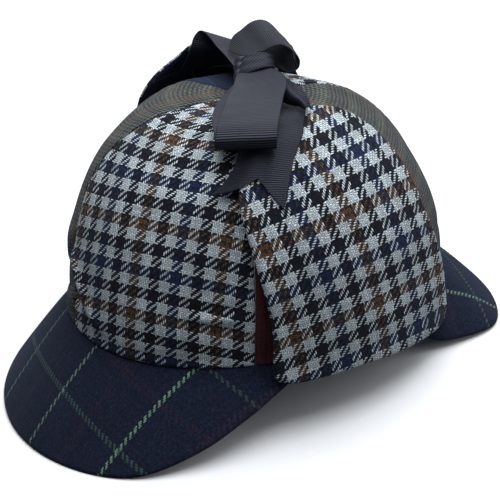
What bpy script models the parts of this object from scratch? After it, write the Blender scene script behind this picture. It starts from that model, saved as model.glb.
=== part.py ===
"""A deerstalker hat at its real size, as it rests on a table on its two peaks.

Metres, +Z up, the front peak towards -Y and the wearer's left towards +X.
Every outline below is worked out in the hat's own frame, in millimetres: the
crown's hem lies in the plane Z = 0 there, and settle() then lays the whole hat
on its peaks.

A place on the crown is a turn round it, in degrees from the middle of the front
towards the wearer's left, and a climb up it, 0 at the hem and 1 at the top.
"""

import math
from collections import namedtuple

import bmesh
import bpy
import numpy as np
from mathutils import Matrix, Vector

MM = 0.001
GAP = 0.3

# The crown, a size 58 cap: one oval for each step of the climb, and how far each gore
# stands out from it midway between its seams.
CrownRow = namedtuple("CrownRow", "height centre_y half_depth half_width puff")
CROWN_ROWS = (
    CrownRow(0.0, 0.0, 104.0, 81.4, 1.2),
    CrownRow(21.1, -0.3, 102.6, 82.0, 1.0),
    CrownRow(40.1, -0.8, 99.2, 80.8, 0.2),
    CrownRow(57.5, -1.6, 93.9, 77.5, -0.8),
    CrownRow(72.9, -2.6, 86.8, 72.4, -1.8),
    CrownRow(86.1, -3.8, 77.9, 65.2, -2.4),
    CrownRow(96.7, -4.9, 67.3, 56.5, -2.4),
    CrownRow(104.5, -5.7, 54.7, 45.6, -1.8),
    CrownRow(109.3, -6.1, 38.2, 31.4, -0.8),
    CrownRow(110.9, -6.3, 0.0, 0.0, 0.0),
)
TOP_CLIMB = 0.985
CROWN_WALL = 2.0
SEAM_BEVEL = 0.3
SEAM_LEAN = 1.7
GORE_ROWS = 15
GORE_COLUMNS = 7

# The six gores, each between two seams.
Gore = namedtuple("Gore", "name first_turn last_turn colour")
HOUNDSTOOTH = (0.30, 0.31, 0.33)
OLIVE_TWEED = (0.12, 0.13, 0.10)
RED_TWEED = (0.16, 0.03, 0.03)
NAVY_TWEED = (0.03, 0.04, 0.08)
GORES = (
    Gore("crown_panel_front_left", 0.0, 69.4, HOUNDSTOOTH),
    Gore("crown_panel_left", 69.4, 118.0, RED_TWEED),
    Gore("crown_panel_rear_left", 118.0, 180.0, OLIVE_TWEED),
    Gore("crown_panel_rear_right", 180.0, 242.0, HOUNDSTOOTH),
    Gore("crown_panel_right", 242.0, 290.6, NAVY_TWEED),
    Gore("crown_panel_front_right", 290.6, 360.0, OLIVE_TWEED),
)

# The outer edge of each peak: for a turn of the hem from the peak's own middle,
# how far to the side, out from the crown's centre and down the edge lies there.
PeakRow = namedtuple("PeakRow", "turn side reach drop")
FRONT_PEAK_ROWS = (
    PeakRow(0.0, 0.0, 143.4, 49.0),
    PeakRow(16.0, 31.5, 137.8, 48.7),
    PeakRow(32.0, 59.4, 121.8, 47.8),
    PeakRow(46.0, 77.8, 99.8, 44.2),
    PeakRow(59.0, 86.7, 70.8, 32.8),
    PeakRow(70.0, 87.7, 44.6, 19.9),
    PeakRow(79.0, 85.4, 23.5, 9.3),
)
REAR_PEAK_ROWS = (
    PeakRow(0.0, 0.0, 135.0, 26.6),
    PeakRow(13.0, 35.0, 132.0, 27.6),
    PeakRow(25.0, 60.0, 116.5, 27.4),
    PeakRow(37.0, 64.8, 88.0, 26.4),
    PeakRow(47.0, 64.5, 71.5, 21.6),
    PeakRow(54.0, 67.4, 62.0, 6.0),
)
PEAK_THICKNESS = 3.5
PEAK_CROWNING = 2.0
PEAK_COLUMNS = 25
PEAK_ROWS = 5

# An ear flap: a strip of the outer face for each row, from its sewn edge under the
# hem, down and round the fold, and up the crown to its blunt end.
FlapRow = namedtuple("FlapRow", "offset climb drop sag front_turn rear_turn")
FLAP_ROWS = (
    FlapRow(-1.2, 0.0, 3.7, 0.0, 84.0, 117.0),
    FlapRow(3.0, 0.0, 5.6, 0.5, 83.0, 118.0),
    FlapRow(6.8, 0.0, 7.6, 1.0, 80.0, 125.0),
    FlapRow(9.2, 0.0, 6.6, 1.0, 76.0, 134.0),
    FlapRow(9.6, 0.0, 3.6, 0.5, 74.3, 137.0),
    FlapRow(9.2, 0.0, 0.0, 0.0, 73.4, 137.4),
    FlapRow(8.2, 0.11, 0.0, 0.0, 73.4, 136.0),
    FlapRow(7.8, 0.22, 0.0, 0.0, 71.6, 133.6),
    FlapRow(7.6, 0.33, 0.0, 0.0, 69.2, 131.6),
    FlapRow(7.4, 0.44, 0.0, 0.0, 66.8, 131.2),
    FlapRow(7.0, 0.52, 0.0, 0.0, 65.4, 130.8),
    FlapRow(6.6, 0.58, 0.0, 0.0, 65.8, 130.0),
    FlapRow(6.0, 0.65, 0.0, 0.0, 69.0, 129.0),
    FlapRow(5.6, 0.72, 0.0, 0.0, 74.0, 127.5),
    FlapRow(5.4, 0.79, 0.0, 0.0, 79.0, 125.0),
    FlapRow(5.4, 0.835, 0.0, 0.0, 81.5, 119.0),
    FlapRow(5.4, 0.86, 0.0, 0.0, 85.0, 110.0),
)
FLAP_THICKNESS = 3.0
FLAP_SAG = 6.5
SAG_TURNS = (100.0, 134.0)
FLAP_COLUMNS = 11
PEEL_CLIMBS = (0.50, 0.86)
PEEL_POWER = 1.4
RIGHT_FLAP_PEEL = 17.0
RIGHT_FLAP_TWIST = -14.0

# The bow, in a frame of its own over the top of the crown: side to the right as seen
# from BOW_TURN, reach towards there and height above the crown. Each row of a ribbon
# is a section between its two selvedges.
BOW_TURN = 65.0
RIBBON_THICKNESS = 0.8
Section = namedtuple(
    "Section", "side_a reach_a height_a side_b reach_b height_b"
)
FRONT_LOOP = (
    Section(-1.5, 7.8, 13.5, 15.5, 7.8, 14.0),
    Section(-6.0, 16.0, 11.8, 21.5, 11.0, 12.8),
    Section(-10.0, 32.0, 9.8, 20.5, 28.0, 10.4),
    Section(-12.0, 46.0, 7.2, 17.5, 44.0, 8.0),
    Section(-12.5, 56.0, 4.4, 16.5, 55.0, 5.0),
    Section(-12.5, 60.0, 0.8, 16.5, 58.8, 1.2),
    Section(-12.5, 58.0, -2.4, 16.5, 57.0, -2.2),
    Section(-13.0, 46.0, 3.6, 17.0, 43.0, 4.2),
    Section(-13.5, 32.0, 7.0, 18.0, 28.0, 7.4),
    Section(-12.0, 18.0, 9.0, 16.0, 14.0, 9.6),
    Section(-2.0, 8.6, 11.0, 12.0, 8.6, 11.0),
)
REAR_LOOP = (
    Section(4.0, -8.2, 18.4, -6.0, -24.0, 15.6),
    Section(10.5, -2.6, 24.0, -1.0, -28.0, 21.8),
    Section(16.0, -0.5, 26.6, 6.0, -29.0, 27.2),
    Section(21.0, 0.0, 26.0, 12.5, -29.0, 26.4),
    Section(25.6, 0.0, 21.6, 19.0, -29.0, 20.6),
    Section(27.6, 0.0, 17.0, 24.0, -29.0, 13.6),
    Section(26.6, -0.5, 13.6, 23.0, -28.0, 10.0),
    Section(22.6, -1.0, 11.6, 17.0, -27.0, 8.6),
    Section(19.4, -4.4, 11.2, 11.0, -24.0, 8.6),
    Section(12.0, -8.4, 11.6, 5.0, -21.0, 11.0),
)
LEFT_RIBBON = (
    Section(6.0, 8.6, 8.2, 18.6, 1.5, 9.4),
    Section(14.0, 11.5, 8.2, 20.5, 3.0, 9.0),
    Section(21.6, 13.6, 8.3, 24.5, 8.0, 8.4),
    Section(26.5, 19.0, 7.6, 29.0, 14.0, 7.2),
    Section(30.5, 25.5, 6.0, 32.8, 21.0, 5.6),
)
RIGHT_RIBBON = (
    Section(-5.2, -2.0, 13.5, 1.0, -8.2, 9.7),
    Section(-9.2, -18.0, 14.1, 4.0, -22.0, 8.0),
    Section(-14.7, -27.0, 14.6, 4.0, -30.0, 8.4),
    Section(-17.0, -31.0, 14.8, 2.6, -33.6, 8.2),
    Section(-18.8, -34.2, 15.2, 1.4, -37.0, 7.8),
)
# The two hanging tails, each a strip laid at an offset from the crown.
TailRow = namedtuple("TailRow", "turn_a climb_a turn_b climb_b offset")
LEFT_TAIL = (
    TailRow(58.0, 0.93, 128.0, 0.91, 7.0),
    TailRow(66.0, 0.86, 107.0, 0.83, 6.8),
    TailRow(66.5, 0.77, 96.0, 0.74, 6.9),
    TailRow(64.0, 0.67, 87.5, 0.66, 7.4),
    TailRow(60.5, 0.60, 82.5, 0.57, 8.0),
    TailRow(58.0, 0.55, 79.0, 0.49, 8.6),
)
RIGHT_TAIL = (
    TailRow(205.0, 0.93, 290.0, 0.90, 3.4),
    TailRow(232.0, 0.86, 272.0, 0.80, 3.6),
    TailRow(240.0, 0.76, 268.0, 0.71, 3.4),
    TailRow(242.0, 0.66, 267.0, 0.61, 3.4),
    TailRow(243.0, 0.56, 266.0, 0.52, 3.4),
)
TAIL_NOTCH = 0.26
TAIL_LENGTH_ROWS = 12
RIBBON_COLUMNS = 5
SECTION_STEPS = 2

# The knot: a short barrel round the ribbons, in the bow's frame.
KNOT_CENTRE = (7.0, 1.0, 15.4)
KNOT_HALF = (10.4, 6.2, 5.8)
KNOT_SEGMENTS = 20
KNOT_ROUNDING = 2.0

# How the hat rests: tipped back until both peaks touch the table, which presses
# their lowest edges flat.
REST_TIP = -4.6
PRESSED = 1.6

NAVY_CHECK = (0.02, 0.025, 0.05)
RIBBON_BLACK = (0.03, 0.03, 0.035)
CLOTH_ROUGHNESS = 0.9
RIBBON_ROUGHNESS = 0.5


def spline(rows, place):
    """The row at a place from 0 to 1 along a table, on a Catmull-Rom curve."""
    table = np.array(rows, float)
    last = len(table) - 1
    along = min(max(place, 0.0), 1.0) * last
    index = min(int(along), last - 1)
    part = along - index
    before = table[index - 1] if index else 2 * table[0] - table[1]
    start, end = table[index], table[index + 1]
    after = table[index + 2] if index + 2 <= last else 2 * end - start
    return start + 0.5 * part * (
        end - before
        + part * (2 * before - 5 * start + 4 * end - after)
        + part * part * (3 * (start - end) + after - before)
    )


def crown_point(turn, climb):
    row = CrownRow(*spline(CROWN_ROWS, climb))
    angle = math.radians(turn)
    return np.array((
        row.half_width * math.sin(angle),
        row.centre_y - row.half_depth * math.cos(angle),
        row.height,
    ))


def crown_normal(turn, climb):
    climb = min(climb, 0.995)
    around = crown_point(turn + 0.2, climb) - crown_point(turn - 0.2, climb)
    upward = crown_point(turn, climb + 0.004) - crown_point(turn, max(climb - 0.004, 0.0))
    normal = np.cross(around, upward)
    return normal / np.linalg.norm(normal)


def off_crown(turn, climb, offset, drop=0.0):
    """A point outside the crown's surface, let down by a drop below the hem."""
    point = crown_point(turn, climb) + offset * crown_normal(turn, climb)
    return point - np.array((0.0, 0.0, drop))


def bow_point(side, reach, height):
    angle = math.radians(BOW_TURN)
    top = crown_point(0.0, 1.0)
    return top + np.array((
        side * math.cos(angle) + reach * math.sin(angle),
        side * math.sin(angle) - reach * math.cos(angle),
        height,
    ))


def material(name, colour, roughness):
    made = bpy.data.materials.new(name)
    made.use_nodes = True
    shader = made.node_tree.nodes["Principled BSDF"]
    shader.inputs["Base Color"].default_value = (*colour, 1.0)
    shader.inputs["Roughness"].default_value = roughness
    made.diffuse_color = (*colour, 1.0)
    return made


def add_object(name, mesh, colour, roughness):
    mesh.materials.append(material(name, colour, roughness))
    made = bpy.data.objects.new(name, mesh)
    hat.objects.link(made)
    return made


def add_sheet(name, grid, thickness, colour, roughness=CLOTH_ROUGHNESS):
    """A cloth wall: a grid of points on its outer face, thickened inwards."""
    sheet = bmesh.new()
    points = [[sheet.verts.new(Vector(point) * MM) for point in row] for row in grid]
    for low, high in zip(points, points[1:]):
        for left in range(len(low) - 1):
            sheet.faces.new((low[left], low[left + 1], high[left + 1], high[left]))
    mesh = bpy.data.meshes.new(name)
    sheet.to_mesh(mesh)
    sheet.free()
    mesh.shade_smooth()
    made = add_object(name, mesh, colour, roughness)
    wall = made.modifiers.new("Wall", "SOLIDIFY")
    wall.thickness = thickness * MM
    wall.offset = -1.0
    wall.use_even_offset = True
    return made


def add_gore(gore):
    """One gore, standing out from its seams low down and drawn in between them above,
    where its wall needs a wider gap at each seam."""
    grid = []
    for climb in np.linspace(0.0, TOP_CLIMB, GORE_ROWS):
        row = CrownRow(*spline(CROWN_ROWS, climb))
        half_arc = 0.5 * math.radians(gore.last_turn - gore.first_turn) * row.half_width
        lean = max(0.0, -2.0 * row.puff / half_arc)
        allowance = 0.5 * GAP + SEAM_BEVEL + SEAM_LEAN * lean * CROWN_WALL
        inset = math.degrees(allowance / row.half_width)
        turns = np.linspace(gore.first_turn + inset, gore.last_turn - inset, GORE_COLUMNS)
        across = np.linspace(-1.0, 1.0, GORE_COLUMNS)
        grid.append([
            off_crown(turn, climb, row.puff * (1.0 - place * place))
            for turn, place in zip(turns, across)
        ])
    add_sheet(gore.name, grid, CROWN_WALL, gore.colour)


def peak_edge(rows, turn):
    """The peak's outer edge beside a turn of the hem: (side, reach, drop)."""
    turns = [row.turn for row in rows]
    place = np.interp(abs(turn), turns, np.linspace(0.0, 1.0, len(rows)))
    edge = PeakRow(*spline(mirrored(rows), 0.5 + 0.5 * place))
    return math.copysign(edge.side, turn), edge.reach, edge.drop


def mirrored(rows):
    """The whole edge from end to end, so that its curve runs smoothly over the middle."""
    other = [PeakRow(-row.turn, -row.side, row.reach, row.drop) for row in rows[:0:-1]]
    return other + list(rows)


def add_peak(name, rows, facing):
    """A stiff peak from under the hem to its edge; facing is -1 at the front, 1 behind."""
    last = rows[-1].turn
    grid = []
    for out in np.linspace(0.0, 1.0, PEAK_ROWS):
        line = []
        for turn in np.linspace(-last, last, PEAK_COLUMNS):
            around = turn if facing < 0 else 180.0 - turn
            hem = off_crown(around, 0.0, -0.5, GAP)
            side, reach, drop = peak_edge(rows, turn)
            edge = np.array((side, facing * reach, -drop))
            rise = PEAK_CROWNING * 4.0 * out * (1.0 - out)
            lift = np.array((0.0, 0.0, rise * math.cos(math.radians(turn))))
            line.append(hem + (edge - hem) * out + lift)
        grid.append(line if facing > 0 else line[::-1])
    add_sheet(name, grid, PEAK_THICKNESS, NAVY_CHECK)


def flap_point(row, turn, peel, twist):
    """A point of a left flap; peel lifts its upper end off the crown, more at the front."""
    sag = FLAP_SAG * row.sag * np.interp(turn, SAG_TURNS, (0.0, 1.0))
    lift = np.interp(row.climb, PEEL_CLIMBS, (0.0, 1.0)) ** PEEL_POWER
    tilt = peel + twist * (turn - row.front_turn) / (row.rear_turn - row.front_turn)
    return off_crown(turn, row.climb, row.offset + lift * (tilt if peel else 0.0), row.drop + sag)


def add_flap(name, side, peel=0.0, twist=0.0):
    """An ear flap; side is 1 on the wearer's left and -1 on the right."""
    grid = []
    for row in FLAP_ROWS:
        turns = np.linspace(row.front_turn, row.rear_turn, FLAP_COLUMNS)
        line = [flap_point(row, turn, peel, twist) * (side, 1.0, 1.0) for turn in turns]
        grid.append(line if side > 0 else line[::-1])
    add_sheet(name, grid, FLAP_THICKNESS, HOUNDSTOOTH)


def add_ribbon(name, sections, facing):
    """A ribbon through its sections; facing is 1 where its outer face is on the left."""
    grid = []
    count = (len(sections) - 1) * SECTION_STEPS + 1
    for place in np.linspace(0.0, 1.0, count):
        section = Section(*spline(sections, place))
        one = bow_point(section.side_a, section.reach_a, section.height_a)
        other = bow_point(section.side_b, section.reach_b, section.height_b)
        line = [one + (other - one) * across for across in np.linspace(0.0, 1.0, 3)]
        grid.append(line[::facing])
    add_sheet(name, grid, RIBBON_THICKNESS, RIBBON_BLACK, RIBBON_ROUGHNESS)


def add_tail(name, rows):
    """A tail laid down the crown, its end cut in a V."""
    grid = []
    for length in np.linspace(0.0, 1.0, TAIL_LENGTH_ROWS):
        line = []
        for across in np.linspace(0.0, 1.0, RIBBON_COLUMNS):
            cut = 1.0 - TAIL_NOTCH * (1.0 - abs(2.0 * across - 1.0))
            row = TailRow(*spline(rows, length * cut))
            turn = row.turn_a + (row.turn_b - row.turn_a) * across
            climb = row.climb_a + (row.climb_b - row.climb_a) * across
            line.append(off_crown(turn, climb, row.offset))
        grid.append(line[::-1])
    add_sheet(name, grid, RIBBON_THICKNESS, RIBBON_BLACK, RIBBON_ROUGHNESS)


def add_knot():
    """The knot, a barrel lying along the bow's reach, with rounded ends."""
    bpy.ops.mesh.primitive_cylinder_add(vertices=KNOT_SEGMENTS, radius=1.0, depth=2.0)
    knot = bpy.context.object
    knot.name = "bow_knot"
    knot.data.name = "bow_knot"
    for collection in knot.users_collection:
        collection.objects.unlink(knot)
    hat.objects.link(knot)
    knot.data.materials.append(material("bow_knot", RIBBON_BLACK, RIBBON_ROUGHNESS))
    along = math.radians(BOW_TURN)
    lay_down = Matrix.Rotation(math.radians(90.0), 4, "X")
    size = Matrix.Diagonal((*(Vector(KNOT_HALF) * MM), 1.0))
    turn = Matrix.Rotation(along, 4, "Z")
    place = Matrix.Translation(Vector(bow_point(*KNOT_CENTRE)) * MM)
    knot.data.transform(place @ turn @ size @ lay_down)
    knot.data.shade_smooth()
    rounding = knot.modifiers.new("Rounding", "BEVEL")
    rounding.width = KNOT_ROUNDING * MM
    rounding.segments = 2
    return knot


def settle(pieces):
    """Tips the hat back on to its peaks, centres it and presses the peaks' edges flat."""
    graph = bpy.context.evaluated_depsgraph_get()
    tip = Matrix.Rotation(math.radians(REST_TIP), 4, "X")
    for piece in pieces:
        mesh = bpy.data.meshes.new_from_object(piece.evaluated_get(graph))
        mesh.transform(tip)
        piece.modifiers.clear()
        piece.data = mesh
    points = [vertex.co for piece in pieces for vertex in piece.data.vertices]
    lows = [min(point[axis] for point in points) for axis in range(3)]
    highs = [max(point[axis] for point in points) for axis in range(3)]
    middle = Vector(((lows[0] + highs[0]) / 2, (lows[1] + highs[1]) / 2, lows[2] + PRESSED * MM))
    for piece in pieces:
        piece.data.transform(Matrix.Translation(-middle))
        if piece.name.startswith("peak"):
            press_flat(piece.data)


def press_flat(mesh):
    """Takes off what a peak's edge has below the table, leaving the strip it rests on."""
    pressed = bmesh.new()
    pressed.from_mesh(mesh)
    whole = pressed.verts[:] + pressed.edges[:] + pressed.faces[:]
    cut = bmesh.ops.bisect_plane(
        pressed, geom=whole, plane_co=(0.0, 0.0, 0.0), plane_no=(0.0, 0.0, 1.0), clear_inner=True
    )
    rim = [item for item in cut["geom_cut"] if isinstance(item, bmesh.types.BMEdge)]
    strip = bmesh.ops.edgeloop_fill(pressed, edges=rim)
    for face in strip["faces"]:
        face.smooth = False
    bmesh.ops.recalc_face_normals(pressed, faces=pressed.faces)
    pressed.to_mesh(mesh)
    pressed.free()


for old in list(bpy.data.objects):
    bpy.data.objects.remove(old)
hat = bpy.data.collections.new("deerstalker_hat")
bpy.context.scene.collection.children.link(hat)

for gore in GORES:
    add_gore(gore)
add_peak("peak_front", FRONT_PEAK_ROWS, -1)
add_peak("peak_rear", REAR_PEAK_ROWS, 1)
add_flap("ear_flap_left", 1)
add_flap("ear_flap_right", -1, RIGHT_FLAP_PEEL, RIGHT_FLAP_TWIST)
add_ribbon("bow_loop_front", FRONT_LOOP, 1)
add_ribbon("bow_loop_rear", REAR_LOOP, 1)
add_ribbon("ribbon_left", LEFT_RIBBON, 1)
add_ribbon("ribbon_right", RIGHT_RIBBON, -1)
add_tail("bow_tail_left", LEFT_TAIL)
add_tail("bow_tail_right", RIGHT_TAIL)
add_knot()
settle(list(hat.objects))
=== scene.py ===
"""A patchwork tweed deerstalker hat with its ear flaps tied up in a ribbon bow.

Lengths in the tables are millimetres in the hat's own frame: the crown's hem is the
plane z = 0, the front peak is towards -y and the wearer's left is +x. A turn is in
degrees round the crown from the front towards the wearer's left, and a climb goes
from 0 at the hem to 1 at the crown's top. The meshes are in metres, as the hat rests.
"""

import math

import bpy
import numpy as np
from mathutils import Matrix


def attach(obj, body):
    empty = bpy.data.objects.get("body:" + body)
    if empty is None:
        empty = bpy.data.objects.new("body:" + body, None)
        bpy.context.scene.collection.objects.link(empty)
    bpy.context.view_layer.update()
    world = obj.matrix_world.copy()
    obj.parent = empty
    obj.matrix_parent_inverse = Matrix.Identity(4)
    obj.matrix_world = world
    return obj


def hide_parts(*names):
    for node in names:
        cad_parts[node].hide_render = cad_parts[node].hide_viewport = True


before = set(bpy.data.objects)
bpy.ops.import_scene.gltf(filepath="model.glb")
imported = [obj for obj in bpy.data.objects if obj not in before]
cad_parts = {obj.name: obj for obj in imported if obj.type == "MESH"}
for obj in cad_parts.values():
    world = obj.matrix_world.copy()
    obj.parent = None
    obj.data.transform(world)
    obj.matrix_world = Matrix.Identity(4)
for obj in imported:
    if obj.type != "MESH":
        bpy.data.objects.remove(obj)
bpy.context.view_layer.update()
bpy.ops.object.select_all(action="DESELECT")


# Camera. A long lens a little above the hat, towards the wearer's left and front,
# turned by a few degrees as the photograph was.
CAMERA_PLACE = (0.61414, -0.24495, 0.45605)
CAMERA_RIGHT = (0.42652, 0.90016, -0.08813)
CAMERA_BACK = (0.81064, -0.33885, 0.47778)
right = np.array(CAMERA_RIGHT)
back = np.array(CAMERA_BACK) / np.linalg.norm(CAMERA_BACK)
right -= back * right.dot(back)
right /= np.linalg.norm(right)
upward = np.cross(back, right)
lens = bpy.data.cameras.new("camera")
lens.lens = 103.66
lens.sensor_width = 36.0
lens.shift_x = -0.01066
lens.shift_y = -0.1235
camera = bpy.data.objects.new("camera", lens)
camera.matrix_world = Matrix((
    (right[0], upward[0], back[0], CAMERA_PLACE[0]),
    (right[1], upward[1], back[1], CAMERA_PLACE[1]),
    (right[2], upward[2], back[2], CAMERA_PLACE[2]),
    (0.0, 0.0, 0.0, 1.0),
))
bpy.context.scene.collection.objects.link(camera)
bpy.context.scene.camera = camera
bpy.context.scene.view_settings.view_transform = "Standard"


# Table and studio. A sheet of white card on a table, under one wide soft box overhead and
# two dimmer ones, on the far side and behind, in a dim pale room. The light is faintly
# blue, and falls off down the crown's sides.
def linear(hex_colour):
    """A colour written as sRGB hex, as linear red, green, blue and alpha."""
    parts = [int(hex_colour[k : k + 2], 16) / 255.0 for k in (1, 3, 5)]
    return (*[p / 12.92 if p < 0.04045 else ((p + 0.055) / 1.055) ** 2.4 for p in parts], 1.0)


def add_node(material, kind, settings=None, sockets=None):
    """A node with its settings; a socket takes a constant, a node's first output or an output."""
    made = material.node_tree.nodes.new(kind)
    for name, value in (settings or {}).items():
        setattr(made, name, value)
    for socket, value in (sockets or {}).items():
        if isinstance(value, bpy.types.Node):
            value = value.outputs[0]
        if isinstance(value, bpy.types.NodeSocket):
            material.node_tree.links.new(value, made.inputs[socket])
        else:
            made.inputs[socket].default_value = value
    return made


# White card: matt coated paper, which shows as an even pale ground with soft shadows.
card = bpy.data.materials.new("white_card")
card.use_nodes = True
card_place = add_node(card, "ShaderNodeTexCoord").outputs["Object"]
card_grain = add_node(
    card, "ShaderNodeTexNoise", None, {"Vector": card_place, "Scale": 900.0, "Detail": 2.0}
)
card_tone = add_node(
    card, "ShaderNodeMix", {"data_type": "RGBA"},
    {0: card_grain, 6: linear("#EFEFEE"), 7: linear("#F3F3F2")},
)
card_shader = card.node_tree.nodes["Principled BSDF"]
card.node_tree.links.new(card_tone.outputs[2], card_shader.inputs["Base Color"])
card_shader.inputs["Roughness"].default_value = 0.85
bpy.ops.mesh.primitive_plane_add(size=6.0, location=(0.0, 0.0, 0.0))
table = bpy.context.object
table.name = "table_card"
table.data.materials.append(card)
# The card's bounce is kept off the cloth, as with the dark flags round a studio table.
table.visible_diffuse = False
table.visible_glossy = False

SOFT_BOXES = (
    # name, place, aims at, size, watts
    ("overhead_box", (0.09, 0.16, 1.2), (0.0, 0.0, 0.06), 1.2, 23.2),
    ("far_box", (-1.05, 0.35, 0.8), (0.0, 0.0, 0.12), 1.3, 6.2),
    ("rear_box", (0.75, 1.0, 0.70), (0.0, 0.0, 0.08), 0.8, 4.7),
)
for name, place, aim, size, watts in SOFT_BOXES:
    light = bpy.data.lights.new(name, "AREA")
    light.shape = "SQUARE"
    light.size = size
    light.energy = watts
    light.color = linear("#F7FAFF")[:3]
    box = bpy.data.objects.new(name, light)
    facing = np.array(place) - np.array(aim)
    facing /= np.linalg.norm(facing)
    side = np.cross((0.0, 1.0, 0.05), facing)
    side /= np.linalg.norm(side)
    top = np.cross(facing, side)
    box.matrix_world = Matrix((
        (side[0], top[0], facing[0], place[0]),
        (side[1], top[1], facing[1], place[1]),
        (side[2], top[2], facing[2], place[2]),
        (0.0, 0.0, 0.0, 1.0),
    ))
    bpy.context.scene.collection.objects.link(box)
room = bpy.data.worlds.new("pale_room")
room.use_nodes = True
room.node_tree.nodes["Background"].inputs["Color"].default_value = linear("#E6EEFF")
room.node_tree.nodes["Background"].inputs["Strength"].default_value = 0.16
bpy.context.scene.world = room


# Crown. Six gores of wool tweed, each another cloth, sewn edge to edge from the hem to
# the top, with their seam allowances pressed open inside. Each gore is one wall 2 mm
# thick with its lining, rolled in at its seams and turned under at the hem.
CROWN_ROWS = (
    # height, centre_y, half_depth, half_width, puff between the seams
    (0.0, 0.0, 104.0, 81.4, 1.2),
    (21.1, -0.3, 102.6, 82.0, 1.0),
    (40.1, -0.8, 99.2, 80.8, 0.2),
    (57.5, -1.6, 93.9, 77.5, -0.8),
    (72.9, -2.6, 86.8, 72.4, -1.8),
    (86.1, -3.8, 77.9, 65.2, -2.4),
    (96.7, -4.9, 67.3, 56.5, -2.4),
    (104.5, -5.7, 54.7, 45.6, -1.8),
    (109.3, -6.1, 38.2, 31.4, -0.8),
    (110.9, -6.3, 0.0, 0.0, 0.0),
)
TOP_CLIMB = 0.985
CROWN_WALL = 2.0
SEAM_GAP = 0.12
FRONT_SEAM_BEND = -7.5
# How the sewing shows: the roll at a seam and at the hem, the allowance, and the stitches.
SEAM_ROLL_DEPTH, SEAM_ROLL_WIDTH = 1.15, 1.7
HEM_ROLL_DEPTH, HEM_ROLL_WIDTH = 1.25, 1.8
ALLOWANCE_RISE, ALLOWANCE_WIDTH = 0.28, 5.0
STITCH_LENGTH = 4.3
PUCKER_DEPTH, PUCKER_WIDTH = 0.22, 3.2
HEM_STITCHES_DEPTH, HEM_STITCHES_UP = 0.35, 5.5
# The hat rests on its two peaks, tipped a little from the crown's own frame.
REST_TIP = math.radians(-4.6)
REST_MIDDLE = (0.0, -7.218, -38.828)
WHOLE_WAVE = 6.283
GORES = (
    # name, first turn, last turn, record slot
    ("crown_panel_front_left", 0.0, 69.4, "houndstooth_tweed"),
    ("crown_panel_left", 69.4, 118.0, "red_tweed"),
    ("crown_panel_rear_left", 118.0, 180.0, "olive_tweed"),
    ("crown_panel_rear_right", 180.0, 242.0, "houndstooth_tweed"),
    ("crown_panel_right", 242.0, 290.6, "navy_tweed"),
    ("crown_panel_front_right", 290.6, 360.0, "olive_tweed"),
)
# Creases where a gore has been handled: gore, end to end in its own flat millimetres
# (across from its middle, up from the hem), half width, and rise (a dent is negative).
CREASES = (
    ("crown_panel_front_left", (-57.0, 42.0), (-38.0, 23.0), 2.8, 2.2),
    ("crown_panel_front_left", (-38.0, 23.0), (-25.0, 9.0), 2.8, 1.8),
    ("crown_panel_front_left", (-68.0, 40.0), (-46.0, 15.0), 5.0, -4.0),
    ("crown_panel_front_left", (-34.0, 12.0), (-18.0, 4.0), 3.4, -1.0),
    ("crown_panel_front_right", (76.0, 43.0), (14.0, 11.0), 6.5, -4.4),
    ("crown_panel_front_right", (76.0, 62.0), (10.0, 36.0), 9.0, 1.2),
    ("crown_panel_front_left", (24.0, 33.0), (52.0, 33.5), 2.4, -0.8),
    ("crown_panel_front_left", (26.0, 29.0), (52.0, 27.5), 2.2, 0.9),
    ("crown_panel_front_left", (22.0, 24.0), (50.0, 21.0), 2.6, -0.9),
    ("crown_panel_front_left", (28.0, 41.5), (50.0, 43.0), 2.6, -0.5),
    ("crown_panel_front_left", (-6.0, 84.0), (22.0, 62.0), 9.0, -0.5),
    ("crown_panel_front_right", (47.0, 46.0), (28.0, 20.0), 4.0, -1.2),
    ("crown_panel_front_right", (-20.0, 30.0), (14.0, 24.0), 4.0, -0.8),
    ("crown_panel_rear_left", (-10.0, 26.0), (26.0, 30.0), 4.0, -0.8),
    ("crown_panel_rear_right", (-24.0, 40.0), (10.0, 30.0), 4.5, -0.8),
    ("crown_panel_rear_right", (0.0, 62.0), (22.0, 70.0), 6.0, -0.7),
)


def row_at(table, place):
    """The row at each place from 0 to 1 down a table, on a smooth curve through its rows."""
    rows = np.array(table, float)
    rows = np.vstack([2 * rows[0] - rows[1], rows, 2 * rows[-1] - rows[-2]])
    along = np.clip(place, 0.0, 1.0) * (len(rows) - 3)
    index = np.minimum(along.astype(int), len(rows) - 4)
    part = (along - index)[..., None]
    before, start, end, after = (rows[index + k] for k in range(4))
    cubed = part * (3 * (start - end) + after - before)
    squared = part * (2 * before - 5 * start + 4 * end - after + cubed)
    return start + 0.5 * part * (end - before + squared)


def on_crown(turn, climb):
    """Points of the crown's smooth outside, at arrays of turns and climbs."""
    turn, climb = np.broadcast_arrays(np.asarray(turn, float), np.asarray(climb, float))
    row = row_at(CROWN_ROWS, climb)
    angle = np.radians(turn)
    return np.stack(
        [row[..., 3] * np.sin(angle), row[..., 1] - row[..., 2] * np.cos(angle), row[..., 0]], -1
    )


def off_crown(turn, climb, offset, drop=0.0):
    """Points at an offset out from the crown, let down by a drop below the hem."""
    turn, climb = np.broadcast_arrays(np.asarray(turn, float), np.asarray(climb, float))
    near = np.minimum(climb, 0.995)
    around = on_crown(turn + 0.2, near) - on_crown(turn - 0.2, near)
    up = on_crown(turn, near + 0.004) - on_crown(turn, np.maximum(near - 0.004, 0.0))
    normal = np.cross(around, up)
    normal /= np.linalg.norm(normal, axis=-1, keepdims=True)
    points = on_crown(turn, climb) + np.broadcast_to(offset, turn.shape)[..., None] * normal
    points[..., 2] -= drop
    return points


def lengths(grid, axis):
    """How far each point of a grid lies along its row or column."""
    steps = np.linalg.norm(np.diff(grid, axis=axis), axis=-1)
    return np.insert(np.cumsum(steps, axis=axis), 0, 0.0, axis=axis)


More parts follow.
